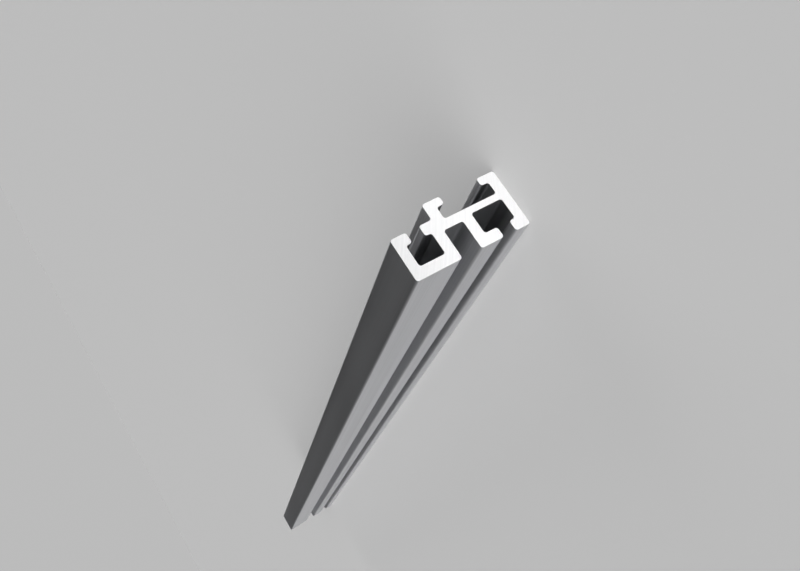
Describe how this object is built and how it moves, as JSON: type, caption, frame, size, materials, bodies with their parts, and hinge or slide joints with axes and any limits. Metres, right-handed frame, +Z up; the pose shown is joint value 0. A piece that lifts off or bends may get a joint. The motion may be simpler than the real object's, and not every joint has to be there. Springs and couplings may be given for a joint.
{
  "type": "aluminium extrusion profile",
  "caption": "Straight slotted aluminium extrusion with a flat base, a tee slot, an open groove, a lipped channel and a wide lipped slot along its whole length, for frames and panel edges.",
  "frame": {"origin": "centre of the flat base, midway between the sawn ends, on the surface that the bar stands on", "axes": "+Z up from the base to the channel, +Y along the bar from its front end to its rear end, +X from the face side to the wide slot"},
  "size_m": [0.022, 0.6, 0.045],
  "materials": {
    "mill_aluminium": "mill finish with faint die lines, sawn ends"
  },
  "bodies": {
    "root": {"profile_bar": "mill_aluminium"}
  },
  "joints": []
}
